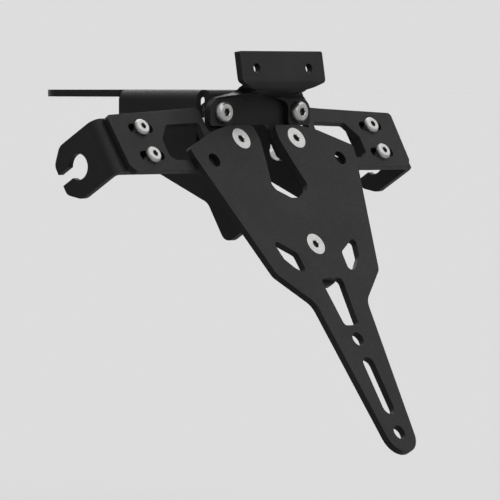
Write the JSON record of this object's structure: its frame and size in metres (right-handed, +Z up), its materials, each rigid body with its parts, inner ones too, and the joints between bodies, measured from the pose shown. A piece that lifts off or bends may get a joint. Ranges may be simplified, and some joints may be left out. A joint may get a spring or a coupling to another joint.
{
  "type": "tail tidy",
  "caption": "Motorbike tail tidy: folded tail bracket with a leaning number plate carrier, slotted indicator bar with stem brackets, and a plate light bracket.",
  "frame": {"origin": "centre of the four tail mounting holes, on the top plate's upper face", "axes": "+Z up, +Y towards the front of the bike, +X towards its right side"},
  "size_m": [0.192, 0.1837, 0.1688],
  "materials": {
    "powder_coat": "satin fine-textured black powder coat",
    "stainless_steel": "turned stainless steel",
    "zinc_steel": "bright zinc plate"
  },
  "bodies": {
    "root": {"base_bracket": "powder_coat", "indicator_bar": "powder_coat", "plate_carrier": "powder_coat", "light_bracket": "powder_coat", "indicator_bracket_left": "powder_coat", "indicator_bracket_right": "powder_coat", "carrier_screw_top_left": "stainless_steel", "carrier_screw_top_right": "stainless_steel", "carrier_screw_lower": "stainless_steel", "carrier_nut_top_left": "zinc_steel", "carrier_nut_top_right": "zinc_steel", "carrier_nut_lower": "zinc_steel", "light_bracket_bolt_left": "stainless_steel", "light_bracket_bolt_right": "stainless_steel", "light_bracket_nut_left": "zinc_steel", "light_bracket_nut_right": "zinc_steel", "indicator_screw_left_upper": "stainless_steel", "indicator_screw_left_lower": "stainless_steel", "indicator_screw_right_upper": "stainless_steel", "indicator_screw_right_lower": "stainless_steel", "indicator_washer_left_upper": "zinc_steel", "indicator_washer_left_lower": "zinc_steel", "indicator_washer_right_upper": "zinc_steel", "indicator_washer_right_lower": "zinc_steel", "indicator_nut_left_upper": "zinc_steel", "indicator_nut_left_lower": "zinc_steel", "indicator_nut_right_upper": "zinc_steel", "indicator_nut_right_lower": "zinc_steel"}
  },
  "joints": []
}
